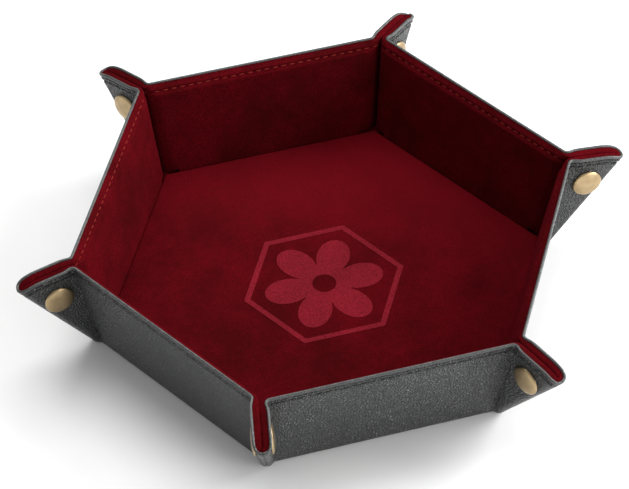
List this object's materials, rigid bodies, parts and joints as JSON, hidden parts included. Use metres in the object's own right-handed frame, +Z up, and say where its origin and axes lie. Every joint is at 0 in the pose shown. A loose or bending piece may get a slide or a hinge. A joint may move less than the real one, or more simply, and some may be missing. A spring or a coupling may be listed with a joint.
{
  "type": "folding dice tray",
  "caption": "Hexagonal velvet-lined dice tray of black leatherette whose stiffened walls fold up from a flat sheet and are held by press studs in its pinched corners.",
  "frame": {"origin": "centre of the underside, on the surface that the tray stands on", "axes": "+Z up, +X through the right-hand corner, +Y through the middle of the back wall"},
  "size_m": [0.2543, 0.2244, 0.0481],
  "materials": {
    "black_leather": "black pebble-grain leatherette with a satin sheen",
    "red_velvet": "deep red short-pile velvet",
    "greyboard": "pressed grey paperboard stiffener",
    "brass": "polished antique brass plate"
  },
  "bodies": {
    "base": {"base_cover": "black_leather", "base_board": "greyboard", "floor_lining": "red_velvet"},
    "right_back_wall": {"right_back_wall_cover": "black_leather", "right_back_wall_board": "greyboard", "right_back_wall_lining": "red_velvet"},
    "right_corner_stud_side": {"right_corner_stud_flap": "black_leather", "right_corner_stud": "brass", "right_corner_stud_cap": "brass"},
    "back_right_corner_socket_side": {"back_right_corner_socket_flap": "black_leather", "back_right_corner_socket": "brass", "back_right_corner_socket_cap": "brass"},
    "back_wall": {"back_wall_cover": "black_leather", "back_wall_board": "greyboard", "back_wall_lining": "red_velvet"},
    "back_right_corner_stud_side": {"back_right_corner_stud_flap": "black_leather", "back_right_corner_stud": "brass", "back_right_corner_stud_cap": "brass"},
    "back_left_corner_socket_side": {"back_left_corner_socket_flap": "black_leather", "back_left_corner_socket": "brass", "back_left_corner_socket_cap": "brass"},
    "left_back_wall": {"left_back_wall_cover": "black_leather", "left_back_wall_board": "greyboard", "left_back_wall_lining": "red_velvet"},
    "back_left_corner_stud_side": {"back_left_corner_stud_flap": "black_leather", "back_left_corner_stud": "brass", "back_left_corner_stud_cap": "brass"},
    "left_corner_socket_side": {"left_corner_socket_flap": "black_leather", "left_corner_socket": "brass", "left_corner_socket_cap": "brass"},
    "left_front_wall": {"left_front_wall_cover": "black_leather", "left_front_wall_board": "greyboard", "left_front_wall_lining": "red_velvet"},
    "left_corner_stud_side": {"left_corner_stud_flap": "black_leather", "left_corner_stud": "brass", "left_corner_stud_cap": "brass"},
    "front_left_corner_socket_side": {"front_left_corner_socket_flap": "black_leather", "front_left_corner_socket": "brass", "front_left_corner_socket_cap": "brass"},
    "front_wall": {"front_wall_cover": "black_leather", "front_wall_board": "greyboard", "front_wall_lining": "red_velvet"},
    "front_left_corner_stud_side": {"front_left_corner_stud_flap": "black_leather", "front_left_corner_stud": "brass", "front_left_corner_stud_cap": "brass"},
    "front_right_corner_socket_side": {"front_right_corner_socket_flap": "black_leather", "front_right_corner_socket": "brass", "front_right_corner_socket_cap": "brass"},
    "right_front_wall": {"right_front_wall_cover": "black_leather", "right_front_wall_board": "greyboard", "right_front_wall_lining": "red_velvet"},
    "front_right_corner_stud_side": {"front_right_corner_stud_flap": "black_leather", "front_right_corner_stud": "brass", "front_right_corner_stud_cap": "brass"},
    "right_corner_socket_side": {"right_corner_socket_flap": "black_leather", "right_corner_socket": "brass", "right_corner_socket_cap": "brass"}
  },
  "joints": [
    {"name": "front_wall_fold", "type": "hinge", "parent": "base", "child": "front_wall", "pos_m": [0, -0.08227, 0.001], "axis": [1, 0, 0], "range_deg": [0, 80]},
    {"name": "right_back_wall_fold", "type": "hinge", "parent": "base", "child": "right_back_wall", "pos_m": [0.07125, 0.04114, 0.001], "axis": [-0.5, 0.866, 0], "range_deg": [0, 80]},
    {"name": "back_wall_fold", "type": "hinge", "parent": "base", "child": "back_wall", "pos_m": [0, 0.08227, 0.001], "axis": [-1, 0, 0], "range_deg": [0, 80]},
    {"name": "left_back_wall_fold", "type": "hinge", "parent": "base", "child": "left_back_wall", "pos_m": [-0.07125, 0.04114, 0.001], "axis": [-0.5, -0.866, 0], "range_deg": [0, 80]},
    {"name": "left_front_wall_fold", "type": "hinge", "parent": "base", "child": "left_front_wall", "pos_m": [-0.07125, -0.04114, 0.001], "axis": [0.5, -0.866, 0], "range_deg": [0, 80]},
    {"name": "right_front_wall_fold", "type": "hinge", "parent": "base", "child": "right_front_wall", "pos_m": [0.07125, -0.04114, 0.001], "axis": [0.5, 0.866, 0], "range_deg": [0, 80]},
    {"name": "right_corner_stud_fold", "type": "hinge", "parent": "right_back_wall", "child": "right_corner_stud_side", "pos_m": [0.09441, 0.003, 0.00083], "axis": [-0.1995, 0, -0.9799], "range_deg": [0, 60.51]},
    {"name": "back_right_corner_socket_fold", "type": "hinge", "parent": "right_back_wall", "child": "back_right_corner_socket_side", "pos_m": [0.0496, 0.08061, 0.00083], "axis": [0.0998, 0.1728, 0.9799], "range_deg": [0, 80.51]},
    {"name": "back_right_corner_stud_fold", "type": "hinge", "parent": "back_wall", "child": "back_right_corner_stud_side", "pos_m": [0.04343, 0.08326, 0.00083], "axis": [-0.0998, -0.1728, -0.9799], "range_deg": [0, 40.51]},
    {"name": "back_left_corner_socket_fold", "type": "hinge", "parent": "back_wall", "child": "back_left_corner_socket_side", "pos_m": [-0.04449, 0.08326, 0.00083], "axis": [-0.0998, 0.1728, 0.9799], "range_deg": [0, 57.51]},
    {"name": "back_left_corner_stud_fold", "type": "hinge", "parent": "left_back_wall", "child": "back_left_corner_stud_side", "pos_m": [-0.04975, 0.08034, 0.00083], "axis": [0.0998, -0.1728, -0.9799], "range_deg": [0, 63.51]},
    {"name": "left_corner_socket_fold", "type": "hinge", "parent": "left_back_wall", "child": "left_corner_socket_side", "pos_m": [-0.09418, 0.00338, 0.00083], "axis": [-0.1995, 0, 0.9799], "range_deg": [0, 50.51]},
    {"name": "left_corner_stud_fold", "type": "hinge", "parent": "left_front_wall", "child": "left_corner_stud_side", "pos_m": [-0.09454, -0.00277, 0.00083], "axis": [0.1995, 0, -0.9799], "range_deg": [0, 70.51]},
    {"name": "front_left_corner_socket_fold", "type": "hinge", "parent": "left_front_wall", "child": "front_left_corner_socket_side", "pos_m": [-0.0503, -0.07939, 0.00083], "axis": [-0.0998, -0.1728, 0.9799], "range_deg": [0, 42.51]},
    {"name": "front_left_corner_stud_fold", "type": "hinge", "parent": "front_wall", "child": "front_left_corner_stud_side", "pos_m": [-0.04499, -0.08326, 0.00083], "axis": [0.0998, 0.1728, -0.9799], "range_deg": [0, 78.51]},
    {"name": "front_right_corner_socket_fold", "type": "hinge", "parent": "front_wall", "child": "front_right_corner_socket_side", "pos_m": [0.04473, -0.08326, 0.00083], "axis": [0.0998, -0.1728, 0.9799], "range_deg": [0, 64.51]},
    {"name": "front_right_corner_stud_fold", "type": "hinge", "parent": "right_front_wall", "child": "front_right_corner_stud_side", "pos_m": [0.04988, -0.08013, 0.00083], "axis": [-0.0998, 0.1728, -0.9799], "range_deg": [0, 56.51]},
    {"name": "right_corner_socket_fold", "type": "hinge", "parent": "right_front_wall", "child": "right_corner_socket_side", "pos_m": [0.09441, -0.003, 0.00083], "axis": [0.1995, 0, 0.9799], "range_deg": [0, 60.51]}
  ],
  "couplings": [
    {"joint": "right_back_wall_fold", "follows": "front_wall_fold", "ratio": 1},
    {"joint": "right_corner_stud_fold", "follows": "front_wall_fold", "ratio": 0.75627},
    {"joint": "back_right_corner_socket_fold", "follows": "front_wall_fold", "ratio": 1.0063},
    {"joint": "back_wall_fold", "follows": "front_wall_fold", "ratio": 1},
    {"joint": "back_right_corner_stud_fold", "follows": "front_wall_fold", "ratio": 0.50627},
    {"joint": "back_left_corner_socket_fold", "follows": "front_wall_fold", "ratio": 0.71877},
    {"joint": "left_back_wall_fold", "follows": "front_wall_fold", "ratio": 1},
    {"joint": "back_left_corner_stud_fold", "follows": "front_wall_fold", "ratio": 0.79377},
    {"joint": "left_corner_socket_fold", "follows": "front_wall_fold", "ratio": 0.63127},
    {"joint": "left_front_wall_fold", "follows": "front_wall_fold", "ratio": 1},
    {"joint": "left_corner_stud_fold", "follows": "front_wall_fold", "ratio": 0.88127},
    {"joint": "front_left_corner_socket_fold", "follows": "front_wall_fold", "ratio": 0.53127},
    {"joint": "front_left_corner_stud_fold", "follows": "front_wall_fold", "ratio": 0.98127},
    {"joint": "front_right_corner_socket_fold", "follows": "front_wall_fold", "ratio": 0.80627},
    {"joint": "right_front_wall_fold", "follows": "front_wall_fold", "ratio": 1},
    {"joint": "front_right_corner_stud_fold", "follows": "front_wall_fold", "ratio": 0.70627},
    {"joint": "right_corner_socket_fold", "follows": "front_wall_fold", "ratio": 0.75627}
  ]
}
